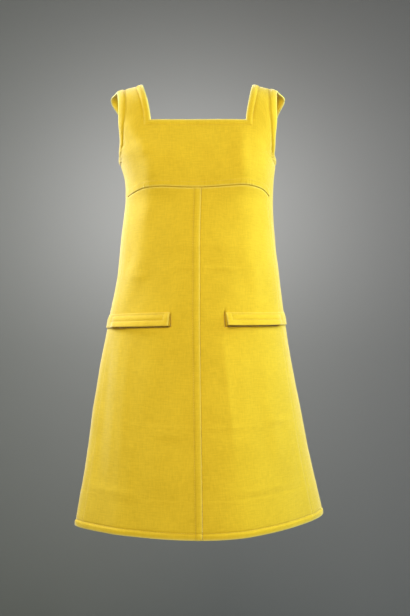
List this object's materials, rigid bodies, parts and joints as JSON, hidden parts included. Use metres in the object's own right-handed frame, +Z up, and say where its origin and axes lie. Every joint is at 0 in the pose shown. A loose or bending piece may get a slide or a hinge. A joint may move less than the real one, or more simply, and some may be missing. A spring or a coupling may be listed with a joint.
{
  "type": "trapeze dress",
  "caption": "Sleeveless A-line mini dress in yellow wool with a square neck, wide straps, a seam under the bust, a lapped centre-front seam, pocket flaps and a back zip.",
  "frame": {"origin": "between the shoulders, on the level where the two straps are carried by the wearer", "axes": "+Z up, the front of the dress faces -Y, +X to the right as seen from the front"},
  "size_m": [0.47, 0.3411, 0.832],
  "materials": {
    "wool": "heavy woven wool, yellow, soft sheen",
    "tape": "woven zip tape, yellow",
    "zip_metal": "polished nickel"
  },
  "bodies": {
    "dress": {"front_bodice": "wool", "front_skirt_left": "wool", "front_skirt_right": "wool", "back_left": "wool", "back_right": "wool", "flap_left": "wool", "flap_right": "wool", "zip_tape": "tape", "zip_slider": "zip_metal"},
    "pull_tab": {"zip_pull": "zip_metal"}
  },
  "joints": [
    {"name": "pull_tab_hinge", "type": "hinge", "parent": "dress", "child": "pull_tab", "pos_m": [0.00081, 0.09307, -0.07092], "axis": [1, 0, 0], "range_deg": [0, 170]}
  ]
}
